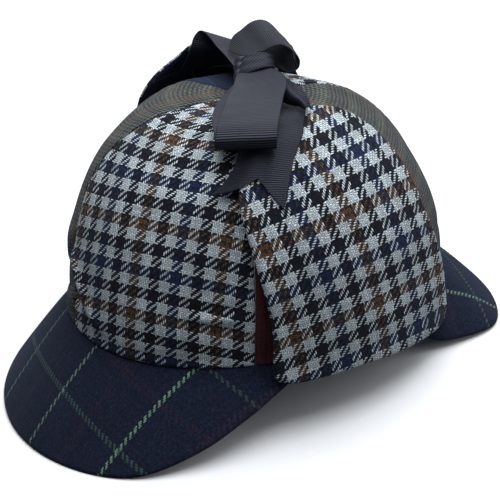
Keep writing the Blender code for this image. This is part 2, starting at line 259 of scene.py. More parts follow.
def lumps(across, up, size, seed):
    """Soft unevenness of handled cloth, about -1 to 1, with lumps of a size in millimetres."""
    pick = np.random.default_rng(seed)
    total = 0.0
    for _ in range(8):
        heading, phase = pick.uniform(0.0, WHOLE_WAVE, 2)
        wave = size * pick.uniform(1.4, 3.2)
        along = across * math.cos(heading) + up * math.sin(heading)
        total = total + np.sin(WHOLE_WAVE * along / wave + phase)
    return total / 4.0


def from_edges(width, count, rim):
    """Places across a strip of the given widths, closer together over the rim at each edge.
    Gives the distance of each place from the strip's first edge, row by row."""
    close = np.array([0.0, 0.12, 0.3, 0.5, 0.75, 1.0]) * rim
    middle = np.linspace(0.0, 1.0, count)[1:-1]
    rows = []
    for wide in np.atleast_1d(width):
        scale = min(1.0, wide / (4.0 * rim))
        edge = close * scale
        inner = edge[-1] + (wide - 2 * edge[-1]) * middle
        rows.append(np.concatenate([edge, inner, wide - edge[::-1]]))
    return np.array(rows)


def cloth_piece(name, outer, inner, flat, finishes):
    """A closed wall between two grids of points, laid as the hat rests. flat holds the
    place of each point on the uncut cloth in millimetres; finishes are the materials of
    its outside and, if it has another, its inside."""
    rows, columns = outer.shape[:2]
    count = rows * columns
    points = np.concatenate([outer.reshape(-1, 3), inner.reshape(-1, 3)])
    tip = np.array((
        (1.0, 0.0, 0.0),
        (0.0, math.cos(REST_TIP), -math.sin(REST_TIP)),
        (0.0, math.sin(REST_TIP), math.cos(REST_TIP)),
    ))
    points = points @ tip.T - np.array(REST_MIDDLE)
    points[:, 2] = np.maximum(points[:, 2], 0.0)
    index = np.arange(count).reshape(rows, columns)
    front = np.stack([index[:-1, :-1], index[:-1, 1:], index[1:, 1:], index[1:, :-1]], -1)
    front = front.reshape(-1, 4)
    rim = np.concatenate([index[0, :-1], index[:-1, -1], index[-1, :0:-1], index[:0:-1, 0]])
    after = np.roll(rim, -1)
    walls = np.stack([after, rim, rim + count, after + count], -1)
    faces = np.concatenate([front, front[:, ::-1] + count, walls])
    # Faces that point inwards would make the wall's volume negative.
    first, second, third = (points[faces[:, k]] for k in range(3))
    if (np.cross(second - first, third - first) * first).sum() < 0:
        faces = faces[:, ::-1]
    mesh = bpy.data.meshes.new(name)
    mesh.from_pydata((points * 0.001).tolist(), [], faces.tolist())
    for finish in finishes:
        mesh.materials.append(finish)
    lie = np.concatenate([flat.reshape(-1, 2)] * 2) * 0.001
    sheet_map = mesh.uv_layers.new(name="cloth")
    sheet_map.data.foreach_set("uv", lie[faces.reshape(-1)].reshape(-1))
    if len(finishes) > 1:
        sides = np.zeros(len(faces), np.int32)
        sides[len(front) : 2 * len(front)] = 1
        mesh.polygons.foreach_set("material_index", sides)
    mesh.shade_smooth()
    mesh.update()
    piece = bpy.data.objects.new(name + "_cloth", mesh)
    bpy.context.scene.collection.objects.link(piece)
    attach(piece, "root")
    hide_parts(name)
    return piece


def cut_size(outer):
    """The flat size and area in metres of the cloth that a grid of points was cut from."""
    across, up = lengths(outer, 1), lengths(outer, 0)
    sides = np.cross(outer[1:, :-1] - outer[:-1, :-1], outer[:-1, 1:] - outer[:-1, :-1])
    others = np.cross(outer[1:, :-1] - outer[1:, 1:], outer[:-1, 1:] - outer[1:, 1:])
    area = 0.5 * (np.linalg.norm(sides, axis=-1).sum() + np.linalg.norm(others, axis=-1).sum())
    width, length = across[:, -1].max() * 0.001, up[-1].max() * 0.001
    return (width, length), min(area * 1e-6, width * length)


# Wool tweed is woven 2/2 twill from carded yarn: matt, hairy, its yarns flecked with other
# shades. Two threads over and two under give the eye the slanting teeth between checks.
# A houndstooth check is 11.2 mm wide, of six pale threads and six dark ones.
CHECK = 11.2
CHECK_THREAD = CHECK / 12.0
DARK_MIDDLE = 0.75 * CHECK
OLIVE_THREAD = 0.56
FINE_THREAD = 0.6


def twill(material, spacing, warp, weft, warp_repeat, weft_repeat, stray=0.16, nap=0.0):
    """Twill cloth on the piece's flat map, with a spacing of its threads in millimetres.
    warp and weft are bands of (first thread, colour); gives the yarn's colour and its
    roundness, from 0 between threads to 1. stray is how far the yarns wander, and a nap
    of 1 is cloth milled until they have closed up."""
    flat = add_node(material, "ShaderNodeUVMap", {"uv_map": "cloth"})
    waver = add_node(
        material, "ShaderNodeTexNoise", None,
        {"Vector": flat, "Scale": 420.0, "Detail": 2.0, "Roughness": 0.6},
    )
    centred = add_node(
        material, "ShaderNodeVectorMath", {"operation": "SUBTRACT"},
        {0: waver.outputs["Color"], 1: (0.5, 0.5, 0.5)},
    )
    drawn = add_node(
        material, "ShaderNodeVectorMath", {"operation": "SCALE"}, {0: centred, "Scale": stray * 0.006}
    )
    place = add_node(material, "ShaderNodeVectorMath", {"operation": "ADD"}, {0: flat, 1: drawn})
    counted = add_node(
        material, "ShaderNodeVectorMath", {"operation": "SCALE"}, {0: place, "Scale": 1000.0 / spacing}
    )
    axes = add_node(material, "ShaderNodeSeparateXYZ", None, {0: counted})
    threads, parts, bulges, colours = [], [], [], []
    for count, bands, repeat in (
        (axes.outputs[0], warp, warp_repeat),
        (axes.outputs[1], weft, weft_repeat),
    ):
        thread = add_node(material, "ShaderNodeMath", {"operation": "FLOOR"}, {0: count})
        within = add_node(material, "ShaderNodeMath", {"operation": "FRACT"}, {0: count})
        bulge = add_node(material, "ShaderNodeMath", {"operation": "PINGPONG"}, {0: within, 1: 0.5})
        middle = add_node(material, "ShaderNodeMath", {"operation": "ADD"}, {0: thread, 1: 0.5})
        share = add_node(
            material, "ShaderNodeMath", {"operation": "DIVIDE"}, {0: middle, 1: float(repeat)}
        )
        in_repeat = add_node(material, "ShaderNodeMath", {"operation": "FRACT"}, {0: share})
        ramp = add_node(material, "ShaderNodeValToRGB", None, {0: in_repeat})
        ramp.color_ramp.interpolation = "CONSTANT"
        for number, (first, shade) in enumerate(bands):
            if number < 2:
                stop = ramp.color_ramp.elements[number]
                stop.position = first / repeat
            else:
                stop = ramp.color_ramp.elements.new(first / repeat)
            stop.color = linear(shade)
        # No two threads took the dye alike.
        dyed = add_node(
            material, "ShaderNodeTexWhiteNoise", {"noise_dimensions": "1D"}, {"W": thread}
        )
        strength = add_node(material, "ShaderNodeMapRange", None, {0: dyed, 3: 0.72, 4: 1.22})
        yarn = add_node(
            material, "ShaderNodeVectorMath", {"operation": "SCALE"}, {0: ramp, "Scale": strength}
        )
        threads.append(thread)
        parts.append(within)
        bulges.append(bulge)
        colours.append(yarn)
    # Over two and under two, each thread one step on from the last.
    step = add_node(
        material, "ShaderNodeMath", {"operation": "SUBTRACT"}, {0: threads[0], 1: threads[1]}
    )
    pick = add_node(material, "ShaderNodeMath", {"operation": "FLOORED_MODULO"}, {0: step, 1: 4.0})
    warp_up = add_node(material, "ShaderNodeMath", {"operation": "LESS_THAN"}, {0: pick, 1: 1.5})
    over = add_node(
        material, "ShaderNodeMix", {"data_type": "VECTOR"},
        {0: warp_up, 4: colours[1], 5: colours[0]},
    )
    # Each float is a grain two threads long, high in its middle and sinking at its ends.
    across = add_node(
        material, "ShaderNodeMix", {"data_type": "FLOAT"}, {0: warp_up, 2: bulges[1], 3: bulges[0]}
    )
    warp_part = add_node(
        material, "ShaderNodeMath", {"operation": "SUBTRACT"}, {0: parts[1], 1: pick}
    )
    warp_run = add_node(
        material, "ShaderNodeMath", {"operation": "MULTIPLY_ADD"}, {0: warp_part, 1: 0.5, 2: 0.5}
    )
    weft_part = add_node(material, "ShaderNodeMath", {"operation": "ADD"}, {0: parts[0], 1: pick})
    weft_run = add_node(
        material, "ShaderNodeMath", {"operation": "MULTIPLY_ADD"}, {0: weft_part, 1: 0.5, 2: -1.0}
    )
    run = add_node(
        material, "ShaderNodeMix", {"data_type": "FLOAT"}, {0: warp_up, 2: weft_run, 3: warp_run}
    )
    crest = add_node(material, "ShaderNodeMath", {"operation": "PINGPONG"}, {0: run, 1: 0.5})
    wide = add_node(material, "ShaderNodeMath", {"operation": "MULTIPLY"}, {0: across, 1: 2.0})
    long = add_node(material, "ShaderNodeMath", {"operation": "MULTIPLY"}, {0: crest, 1: 2.0})
    wide = add_node(material, "ShaderNodeMath", {"operation": "POWER"}, {0: wide, 1: 0.75})
    long = add_node(material, "ShaderNodeMath", {"operation": "POWER"}, {0: long, 1: 0.30})
    height = add_node(material, "ShaderNodeMath", {"operation": "MULTIPLY"}, {0: wide, 1: long})
    # The dark yarns are bulkier: beside a pale float the dark yarn under it shows.
    darker = add_node(
        material, "ShaderNodeVectorMath", {"operation": "MINIMUM"}, {0: colours[0], 1: colours[1]}
    )
    flank = add_node(
        material, "ShaderNodeMapRange", None,
        {0: height, 1: 0.25 - 0.25 * nap, 2: 0.57 - 0.47 * nap, 3: 1.0, 4: 0.0},
    )
    colour = add_node(
        material, "ShaderNodeMix", {"data_type": "VECTOR"},
        {0: flank, 4: over.outputs[1], 5: darker},
    )
    return colour.outputs[1], height.outputs[0]


def finish_wool(material, colour, height, hair, hair_share, relief=0.16, flecks=0.36, shade_between=0.26):
    """Wool's matt shading: flecked yarns, a haze of loose fibres in the hair colour and a
    thread-deep relief in millimetres. The last argument sets the painted shade in the grooves between
    the threads: how much of the yarn's colour is left there."""
    flat = add_node(material, "ShaderNodeUVMap", {"uv_map": "cloth"})
    fleck = add_node(
        material, "ShaderNodeTexNoise", None,
        {"Vector": flat, "Scale": 1300.0, "Detail": 3.0, "Roughness": 0.75},
    )
    patch = add_node(
        material, "ShaderNodeTexNoise", None,
        {"Vector": flat, "Scale": 60.0, "Detail": 3.0, "Roughness": 0.6},
    )
    fleck_tone = add_node(
        material, "ShaderNodeMapRange", None,
        {0: fleck, 1: 0.3, 2: 0.7, 3: 1.0 - flecks, 4: 1.0 + flecks},
    )
    patch_tone = add_node(
        material, "ShaderNodeMapRange", None, {0: patch, 1: 0.3, 2: 0.7, 3: 0.88, 4: 1.12}
    )
    # Painted shade: the yarn's colour is darkened in the grooves between the threads, where shade
    # falls.
    painted_groove_shade = add_node(
        material, "ShaderNodeMapRange", None, {0: height, 3: shade_between, 4: 1.52 - 1.15 * shade_between}
    )
    tone = add_node(
        material, "ShaderNodeMath", {"operation": "MULTIPLY"}, {0: fleck_tone, 1: patch_tone}
    )
    tone = add_node(material, "ShaderNodeMath", {"operation": "MULTIPLY"}, {0: tone, 1: painted_groove_shade})
    toned = add_node(
        material, "ShaderNodeVectorMath", {"operation": "SCALE"}, {0: colour, "Scale": tone}
    )
    stretched = add_node(
        material, "ShaderNodeVectorMath", {"operation": "MULTIPLY"}, {0: flat, 1: (1.0, 0.45, 1.0)}
    )
    wisps = add_node(
        material, "ShaderNodeTexNoise", None,
        {"Vector": stretched, "Scale": 1300.0, "Detail": 3.0, "Roughness": 0.75, "Distortion": 1.2},
    )
    veil = add_node(
        material, "ShaderNodeMapRange", None, {0: wisps, 1: 0.50, 2: 0.80, 3: 0.0, 4: hair_share}
    )
    haired = add_node(
        material, "ShaderNodeMix", {"data_type": "RGBA"}, {0: veil, 6: toned, 7: linear(hair)}
    )
    raised = add_node(
        material, "ShaderNodeMath", {"operation": "MULTIPLY_ADD"}, {0: fleck, 1: 0.9, 2: height}
    )
    bump = add_node(
        material, "ShaderNodeBump", None,
        {"Strength": 0.8, "Distance": relief * 0.001, "Height": raised},
    )
    shader = material.node_tree.nodes["Principled BSDF"]
    material.node_tree.links.new(haired.outputs[2], shader.inputs["Base Color"])
    material.node_tree.links.new(bump.outputs[0], shader.inputs["Normal"])
    shader.inputs["Roughness"].default_value = 0.93
    shader.inputs["Specular IOR Level"].default_value = 0.18
    shader.inputs["Sheen Weight"].default_value = 0.07
    shader.inputs["Sheen Roughness"].default_value = 0.55
    shader.inputs["Sheen Tint"].default_value = linear("#C3CDE6")


# Houndstooth tweed: six threads pale, six dark both ways, the dark bands going brown,
# black, navy, black. Pale and dark squares, with slanting teeth where they cross. No two
# neighbouring dark yarns are quite the same shade, as they are spun from mixed fleece.
houndstooth = bpy.data.materials.new("houndstooth_wool_tweed")
houndstooth.use_nodes = True
PALE = "#C9D3D5"
check_bands = (
    (0, PALE), (6, "#593F2B"), (8, "#34271F"), (9, "#60442D"), (11, "#2B221D"),
    (12, PALE), (18, "#0A0F1B"), (20, "#12131A"), (22, "#0B111F"),
    (24, PALE), (30, "#17274C"), (32, "#0F1627"), (33, "#1B2E57"), (35, "#0F1524"),
    (36, PALE), (42, "#0C1323"), (44, "#090C13"), (46, "#15151A"),
)
check_colour, check_height = twill(houndstooth, CHECK_THREAD, check_bands, check_bands, 48, 48)
finish_wool(houndstooth, check_colour, check_height, "#8E979B", 0.09, 0.16, 0.48)

# Olive tweed: a warp of dark and light pairs crossed by a grey-green weft, with a rust
# overcheck in the warp. The eye sees fine ribs and, along them, one soft warm line about
# 3 mm wide.
olive = bpy.data.materials.new("olive_ribbed_tweed")
olive.use_nodes = True
MOSS, PEAT, LICHEN, RUSSET = "#4D4E4A", "#111312", "#868880", "#9A5F48"
olive_warp = [(2 * k, PEAT if k % 2 else LICHEN) for k in range(28)]
olive_warp[13:16] = [(26, "#4E352B"), (28, RUSSET), (30, "#5A3D31")]
olive_weft = ((0, MOSS), (9, "#4A4F4A"), (13, MOSS), (22, "#62655A"))
olive_colour, olive_height = twill(olive, OLIVE_THREAD, olive_warp, olive_weft, 56, 32, 0.14)
finish_wool(olive, olive_colour, olive_height, "#6F746C", 0.16, 0.14, 0.5, 0.4)

# Red tweed: dark wine yarn, with a pair of near-black threads now and then each way. The
# eye sees a plain fleecy cloth.
red = bpy.data.materials.new("wine_red_tweed")
red.use_nodes = True
red_warp = ((0, "#602429"), (30, "#35171B"))
red_weft = ((0, "#4E2227"), (26, "#2B1A1D"))
red_colour, red_height = twill(red, FINE_THREAD, red_warp, red_weft, 32, 28, 0.12)
finish_wool(red, red_colour, red_height, "#7A4044", 0.22)

# Navy tweed: dark blue twill, with a pair of teal threads now and then each way. The eye
# sees flecks of teal in the blue.
navy = bpy.data.materials.new("navy_teal_fleck_tweed")
navy.use_nodes = True
navy_warp = ((0, "#252C45"), (22, "#3C6660"), (24, "#2A3049"))
navy_weft = ((0, "#20273E"), (30, "#35555A"), (32, "#262C44"))
navy_colour, navy_height = twill(navy, FINE_THREAD, navy_warp, navy_weft, 48, 60, 0.12)
finish_wool(navy, navy_colour, navy_height, "#4C5670", 0.22, 0.12, 0.5, 0.6)

# How each gore's cloth lies: millimetres of the weave for each one across and up the gore,
# its turn on the gore in degrees, the weave's place at the hem's middle, and the bow of
# the weft, which arches where flat cloth is sewn into a dome.
CLOTH_LAY = {
    "crown_panel_front_left": (1.026, 0.978, 0.0, DARK_MIDDLE + 5.54, DARK_MIDDLE - 26.0, 0.0031),
    "crown_panel_left": (1.0, 1.0, 2.0, 0.0, 0.0, 0.003),
    "crown_panel_rear_left": (1.0, 1.0, 0.0, 54.0, -13.0, 0.003),
    "crown_panel_rear_right": (1.0, 1.0, 3.0, 20.0, 16.0, 0.003),
    "crown_panel_right": (1.0, 1.0, -2.0, 0.0, 6.0, 0.003),
    "crown_panel_front_right": (1.0, 1.0, -22.3, -40.6, 0.0, 0.0),
}
GORE_CLOTHS = {
    "houndstooth_tweed": houndstooth,
    "red_tweed": red,
    "olive_tweed": olive,
    "navy_tweed": navy,
}


def smooth_step(value, low, high):
    """From 0 at the low value to 1 at the high one, level at both ends."""
    part = np.clip((value - low) / (high - low), 0.0, 1.0)
    return part * part * (3.0 - 2.0 * part)


def ridge_at(place, middle, spread):
    """A soft ridge 1 high over its middle, almost gone at twice its spread."""
    return np.exp(-(((place - middle) / spread) ** 2))


def rounded(edge, radius, least=0.0):
    """How full a rounded edge is at a distance in from it, from 0 to 1 at its radius."""
    return np.sqrt(1.0 - (1.0 - np.clip(edge / radius, least, 1.0)) ** 2)


def crease_rise(name, across, up):
    """How far the creases of a gore lift its cloth at places on it."""
    rise = np.zeros_like(across)
    for piece, start, end, half_width, height in CREASES:
        if piece != name:
            continue
        start, end = np.array(start), np.array(end)
        along = end - start
        share = ((across - start[0]) * along[0] + (up - start[1]) * along[1]) / along.dot(along)
        held = np.clip(share, 0.0, 1.0)
        apart = np.hypot(across - start[0] - held * along[0], up - start[1] - held * along[1])
        fade = smooth_step(share, -0.25, 0.3) * (1.0 - smooth_step(share, 0.7, 1.25))
        rise += height * ridge_at(apart, 0.0, half_width) * fade
    return rise


for number, (name, first_turn, last_turn, slot_name) in enumerate(GORES):
    # Close rows over the turned hem, then even ones to the top.
    climbs = np.concatenate([[0.0, 0.002, 0.005, 0.009, 0.014], np.linspace(0.02, TOP_CLIMB, 118)])
    middle_turn = 0.5 * (first_turn + last_turn)
    # The seam over the forehead was sewn with a slight bend to the right.
    bend = FRONT_SEAM_BEND * ridge_at(climbs, 0.46, 0.26)
    firsts = first_turn + bend * (first_turn == 0.0)
    lasts = last_turn + bend * (last_turn == 360.0)
    half_widths, puffs = row_at(CROWN_ROWS, climbs).T[3:]
    spans = np.radians(lasts - firsts) * half_widths - 2 * SEAM_GAP
    from_seam = from_edges(spans, 64, 2.4)
    inside_gaps = 1.0 - 2.0 * SEAM_GAP / (spans[:, None] + 2 * SEAM_GAP)
    place = (2.0 * from_seam / spans[:, None] - 1.0) * inside_gaps
    turns = 0.5 * (firsts + lasts)[:, None] + 0.5 * (lasts - firsts)[:, None] * place
    climb_grid = np.broadcast_to(climbs[:, None], turns.shape)
    smooth = on_crown(turns, climb_grid)
    across = lengths(smooth, 1)
    across -= np.array([np.interp(middle_turn, t, a) for t, a in zip(turns, across)])[:, None]
    up = np.broadcast_to(lengths(smooth, 0)[:, smooth.shape[1] // 2][:, None], across.shape)
    edge = np.minimum(from_seam, spans[:, None] - from_seam)
    puff = puffs[:, None] * (1.0 - place**2)
    # The seam's roll, the ridge of the allowance inside, and the puckers of its stitches.
    fades = smooth_step(up, 4.0, 12.0)
    roll = -SEAM_ROLL_DEPTH * (1.0 - rounded(edge, SEAM_ROLL_WIDTH))
    flat_beyond = smooth_step(edge, ALLOWANCE_WIDTH, ALLOWANCE_WIDTH + 3.5)
    ridge = ALLOWANCE_RISE * (1.0 - flat_beyond) * fades
    stitch = STITCH_LENGTH + 0.5 * np.sin(up / 17.0 + number)
    pucker = -PUCKER_DEPTH * ridge_at(edge, 0.0, PUCKER_WIDTH) * fades
    pucker *= 1.0 + np.sin(WHOLE_WAVE * up / stitch + number)
    # The turned hem, and the line of stitches that takes it in.
    hem = -HEM_ROLL_DEPTH * (1.0 - rounded(up, HEM_ROLL_WIDTH))
    taken_in = -HEM_STITCHES_DEPTH * ridge_at(up, HEM_STITCHES_UP, 1.6)
    inland = smooth_step(edge, 1.0, 12.0) * smooth_step(up, 3.0, 16.0)
    uneven = 0.30 * lumps(across, up, 14.0, 11 + number) * inland
    uneven = uneven + 0.55 * lumps(across, up, 42.0, 31 + number) * inland
    creased = crease_rise(name, across, up)
    rise = puff + roll + ridge + pucker + hem + taken_in + uneven + creased
    outer = off_crown(turns, climb_grid, rise)
    inner = off_crown(turns, climb_grid, puff - CROWN_WALL)
    scale_x, scale_y, lean, start_x, start_y, bow = CLOTH_LAY[name]
    lean = math.radians(lean)
    risen = up + bow * across**2
    flat = np.stack([
        (across * math.cos(lean) - risen * math.sin(lean)) * scale_x + start_x,
        (across * math.sin(lean) + risen * math.cos(lean)) * scale_y + start_y,
    ], -1)
    gore = cloth_piece(name, outer, inner, flat, (GORE_CLOTHS[slot_name],))
    size, area = cut_size(smooth)


# Peaks. Front and rear brims of navy windowpane tweed over a stiff board, sewn under the
# crown's hem and moulded to curve down; they carry the hat on the table.
FRONT_PEAK = (
    # turn of the hem, then how far to the side, out and down the edge lies there
    (0.0, 0.0, 143.4, 49.0),
    (16.0, 31.5, 137.8, 48.7),
    (32.0, 59.4, 121.8, 47.8),
    (46.0, 77.8, 99.8, 44.2),
    (59.0, 86.7, 70.8, 32.8),
    (70.0, 87.7, 44.6, 19.9),
    (79.0, 85.4, 23.5, 9.3),
)
REAR_PEAK = (
    (0.0, 0.0, 135.0, 26.6),
    (13.0, 35.0, 132.0, 27.6),
    (25.0, 60.0, 116.5, 27.4),
    (37.0, 64.8, 88.0, 26.4),
    (47.0, 64.5, 71.5, 21.6),
    (54.0, 67.4, 62.0, 6.0),
)
PEAK_THICKNESS = 3.5
PEAK_CROWNING = 2.0
PEAK_ROUNDING = 2.2
PEAK_STITCHES_IN = 5.0
# Where a line of the windowpane and a line across it lie, as the photograph has them. A
# pane is 42 mm both ways in plan, because the cloth is stretched down the slope. On the
# front peak the lines that run across are drawn back at the sides.
FRONT_LINE, FRONT_CROSS = 22.3, -121.3
REAR_LINE, REAR_CROSS = 48.5, 110.5
CROSS_BOW = 0.0035

# Windowpane tweed: navy 2/2 twill milled to a soft nap that hides its threads, with three
# pale green ones as a line of slanting dashes, and a faint wine line half-way.
windowpane = bpy.data.materials.new("navy_windowpane_tweed")
windowpane.use_nodes = True
INK, INK_WEFT, SAGE, SAGE_SOFT = "#161D34", "#131B2A", "#7C9C84", "#43594F"
pane_warp = ((0, INK), (32, "#2C2033"), (36, INK), (67, SAGE))
pane_weft = ((0, INK_WEFT), (31, "#2B1F2E"), (36, INK_WEFT), (67, SAGE_SOFT))
pane_colour, pane_height = twill(windowpane, FINE_THREAD, pane_warp, pane_weft, 70, 70, 0.12, 0.8)
finish_wool(windowpane, pane_colour, pane_height, "#3C4A6C", 0.34, 0.10, 0.75, 0.72)
SAGE_MIDDLE = 68.5 * FINE_THREAD


def mirrored(table):
    """The whole edge from end to end, so that its curve runs smoothly over the middle."""
    return [(-turn, -side, reach, drop) for turn, side, reach, drop in table[:0:-1]] + list(table)


def square_to(grid):
    """The direction square to a grid of points, at each of them."""
    square = np.cross(np.gradient(grid, axis=1), np.gradient(grid, axis=0))
    return square / np.linalg.norm(square, axis=-1, keepdims=True)


def shape_peak(name, table, facing, line, cross):
    """A peak from the hem out to the edge in its table; facing is -1 for the front one.
    A green line of its cloth lies at line, and one across it at cross."""
    last = table[-1][0]
    turns = np.linspace(-last, last, 181)
    place = np.interp(np.abs(turns), [row[0] for row in table], np.linspace(0.0, 1.0, len(table)))
    edge = row_at(mirrored(table), 0.5 + 0.5 * place)
    edge = np.stack([np.copysign(edge[:, 1], turns), facing * edge[:, 2], -edge[:, 3]], -1)
    around = turns if facing < 0 else 180.0 - turns
    # The inner edge is caught up inside the crown's hem, so that no light comes through.
    hem = off_crown(around, 0.0, -0.9, -0.5)
    run = np.linalg.norm(edge - hem, axis=-1)
    # Close rows over the rounded edge, then even ones up to the hem.
    near = np.array([0.0, 0.08, 0.3, 0.65, 1.1, 1.6, PEAK_ROUNDING])
    close = 1.0 - np.minimum(near[:, None] / run, 0.3 * near[:, None] / PEAK_ROUNDING)
    even = close[-1] * (1.0 - np.linspace(0.0, 1.0, 46)[1:, None])
    out = np.concatenate([close, even])[::-1]
    # Out from the hem the board bows up a little, and the cloth on it isn't quite even.
    top = hem + (edge - hem) * out[..., None]
    top[..., 2] += PEAK_CROWNING * 4.0 * out * (1.0 - out) * np.cos(np.radians(turns))
    uneven = 0.35 * lumps(top[..., 0], run * out, 30.0, 5)
    top[..., 2] += uneven * out * (1.0 - smooth_step(out, 0.8, 1.0))
    normal = square_to(top)
    normal *= np.sign(normal[..., 2:3])
    from_edge, from_end = run * (1.0 - out), lengths(top, 1)
    ends = 0.6 + np.minimum(from_end, from_end[:, -1:] - from_end)
    half = 0.5 * PEAK_THICKNESS
    thick = half * rounded(np.minimum(from_edge, ends), PEAK_ROUNDING, 0.03)
    # A line of stitches round the edge draws the two faces together.
    thick -= 0.10 * ridge_at(from_edge, PEAK_STITCHES_IN, 0.9)
    wall = thick[..., None] * normal
    middle = top - half * normal
    across, depth = top[..., 0], top[..., 1]
    if facing < 0:
        depth = depth - CROSS_BOW * across**2 * (1.0 + 0.34 * (depth + 110.0) / 50.0)
    flat = np.stack([across - line, cross - depth], -1) + SAGE_MIDDLE
    peak = cloth_piece(
        name, middle + wall, middle - wall, flat, (windowpane,)
    )


shape_peak("peak_front", FRONT_PEAK, -1.0, FRONT_LINE, FRONT_CROSS)
shape_peak("peak_rear", REAR_PEAK, 1.0, REAR_LINE, REAR_CROSS)


# Ear flaps. Two padded lappets, houndstooth outside and windowpane inside, sewn under the
# hem, folded up against the crown and drawn together over the top by their ribbons. The
# right one stands off the crown, so its inside shows.
FLAP_ROWS = (
    # offset from the crown, climb, drop below the hem, sag, front turn, rear turn
    (-1.2, 0.0, 3.7, 0.0, 84.0, 117.0),
    (3.0, 0.0, 5.6, 0.5, 83.0, 118.0),
    (6.8, 0.0, 7.6, 1.0, 80.0, 125.0),
    (9.2, 0.0, 6.6, 1.0, 76.0, 134.0),
    (9.6, 0.0, 3.6, 0.5, 74.3, 137.0),
    (9.2, 0.0, 0.0, 0.0, 73.4, 137.4),
    (8.2, 0.11, 0.0, 0.0, 73.4, 136.0),
    (7.8, 0.22, 0.0, 0.0, 71.6, 133.6),
    (7.6, 0.33, 0.0, 0.0, 69.2, 131.6),
    (7.4, 0.44, 0.0, 0.0, 66.8, 132.0),
    (7.0, 0.52, 0.0, 0.0, 65.4, 132.4),
    (6.6, 0.58, 0.0, 0.0, 65.8, 133.2),
    (6.0, 0.65, 0.0, 0.0, 69.0, 133.8),
    (5.6, 0.72, 0.0, 0.0, 74.0, 133.2),
    (5.4, 0.79, 0.0, 0.0, 79.0, 131.0),
    (5.4, 0.835, 0.0, 0.0, 81.5, 124.5),
    (5.4, 0.86, 0.0, 0.0, 85.0, 114.0),
)
FLAP_THICKNESS = 3.4
FLAP_SAG = 6.5
FLAP_ROUNDING = 2.6
FLAP_STITCHES_IN = 6.0
FLAP_MIDDLE, FLAP_REAR = 100.0, 134.0
# How far down the rows the flap passes the hem on its way up, and where its fold ends.
FLAP_HEM, FLAP_FOLD_END = 5.0 / 16.0, 6.0 / 16.0
# Where the checks lie on a flap, counted in checks from the middle of a dark one: across
# the flap and up it. The cloth was cut a little askew, and the fold draws its threads.
FLAP_CHECKS = (
    # at the hem's middle, then for each mm across, mm up, and mm across squared
    (-0.9166, 0.08287, 0.0127, -0.0000320),
    (-6.04, -0.0063, 0.0778, 0.000196),
)


def shape_flap(name, side, peel, twist, short, seed):
    """A flap folded up on its side of the crown. Its end stands off the crown by peel at
    the front edge and by twist more at the rear one, and lies short of the near flap's."""
    places = np.concatenate([
        np.linspace(0.0, FLAP_FOLD_END, 56)[:-1],
        np.linspace(FLAP_FOLD_END, 1.0, 96),
    ])
    offsets, climbs, drops, sags, fronts, rears = row_at(FLAP_ROWS, places).T
    climbs = np.maximum(climbs, 0.0)
    climbs = climbs - short * smooth_step(climbs, 0.62, 0.86)
    radii = row_at(CROWN_ROWS, climbs)[:, 3] + offsets
    spans = np.radians(rears - fronts) * radii
    from_front = from_edges(spans, 58, FLAP_ROUNDING)
    turns = fronts[:, None] + (rears - fronts)[:, None] * from_front / spans[:, None]
    climb_grid = np.broadcast_to(climbs[:, None], turns.shape)
    sag = FLAP_SAG * sags[:, None] * np.interp(turns, (FLAP_MIDDLE, FLAP_REAR), (0.0, 1.0))
    lift = np.interp(climb_grid, (0.50, 0.86), (0.0, 1.0)) ** 1.4
    tilt = peel + twist * (turns - fronts[:, None]) / (rears - fronts)[:, None]
    outer = off_crown(turns, climb_grid, offsets[:, None] + lift * tilt, drops[:, None] + sag)
    across, up = lengths(outer, 1), lengths(outer, 0)
    middles = np.array([np.interp(FLAP_MIDDLE, t, a) for t, a in zip(turns, across)])
    hem_row = int(np.argmin(np.abs(places - FLAP_HEM)))
    middle_column = int(np.argmin(np.abs(turns[hem_row] - FLAP_MIDDLE)))
    u = across - middles[:, None]
    v = np.broadcast_to((up[:, middle_column] - up[hem_row, middle_column])[:, None], u.shape)
    normal = square_to(outer)
    half = 0.5 * FLAP_THICKNESS
    edge = np.minimum(from_front, spans[:, None] - from_front)
    edge = np.minimum(edge, (up[-1:] - up) + 0.05)
    shape = rounded(edge, FLAP_ROUNDING, 0.02)
    # The padding's unevenness, the line of stitches round the edge, and their puckers.
    quilt = 0.22 * lumps(u, v, 16.0, seed) * smooth_step(edge, 1.0, 9.0)
    sewn = -0.30 * ridge_at(edge, FLAP_STITCHES_IN, 1.5) * smooth_step(v, -4.0, 4.0)
    pucker = 0.16 * np.sin(WHOLE_WAVE * (v + 0.4 * u) / 4.6) * ridge_at(edge, 2.5, 2.5)
    middle = outer - half * normal
    front_face = middle + ((half + quilt + sewn + pucker) * shape)[..., None] * normal
    back_face = middle - ((half + 0.4 * sewn) * shape)[..., None] * normal
    checks = np.stack([
        start + by_across * u + by_up * v + by_bow * u**2
        for start, by_across, by_up, by_bow in FLAP_CHECKS
    ], -1)
    mirror = np.array((side, 1.0, 1.0))
    flap = cloth_piece(
        name, front_face * mirror, back_face * mirror, checks * CHECK + DARK_MIDDLE,
        (houndstooth, windowpane),
    )


shape_flap("ear_flap_left", 1.0, 0.0, 0.0, 0.0, 61)
shape_flap("ear_flap_right", -1.0, 17.0, -14.0, 0.055, 62)


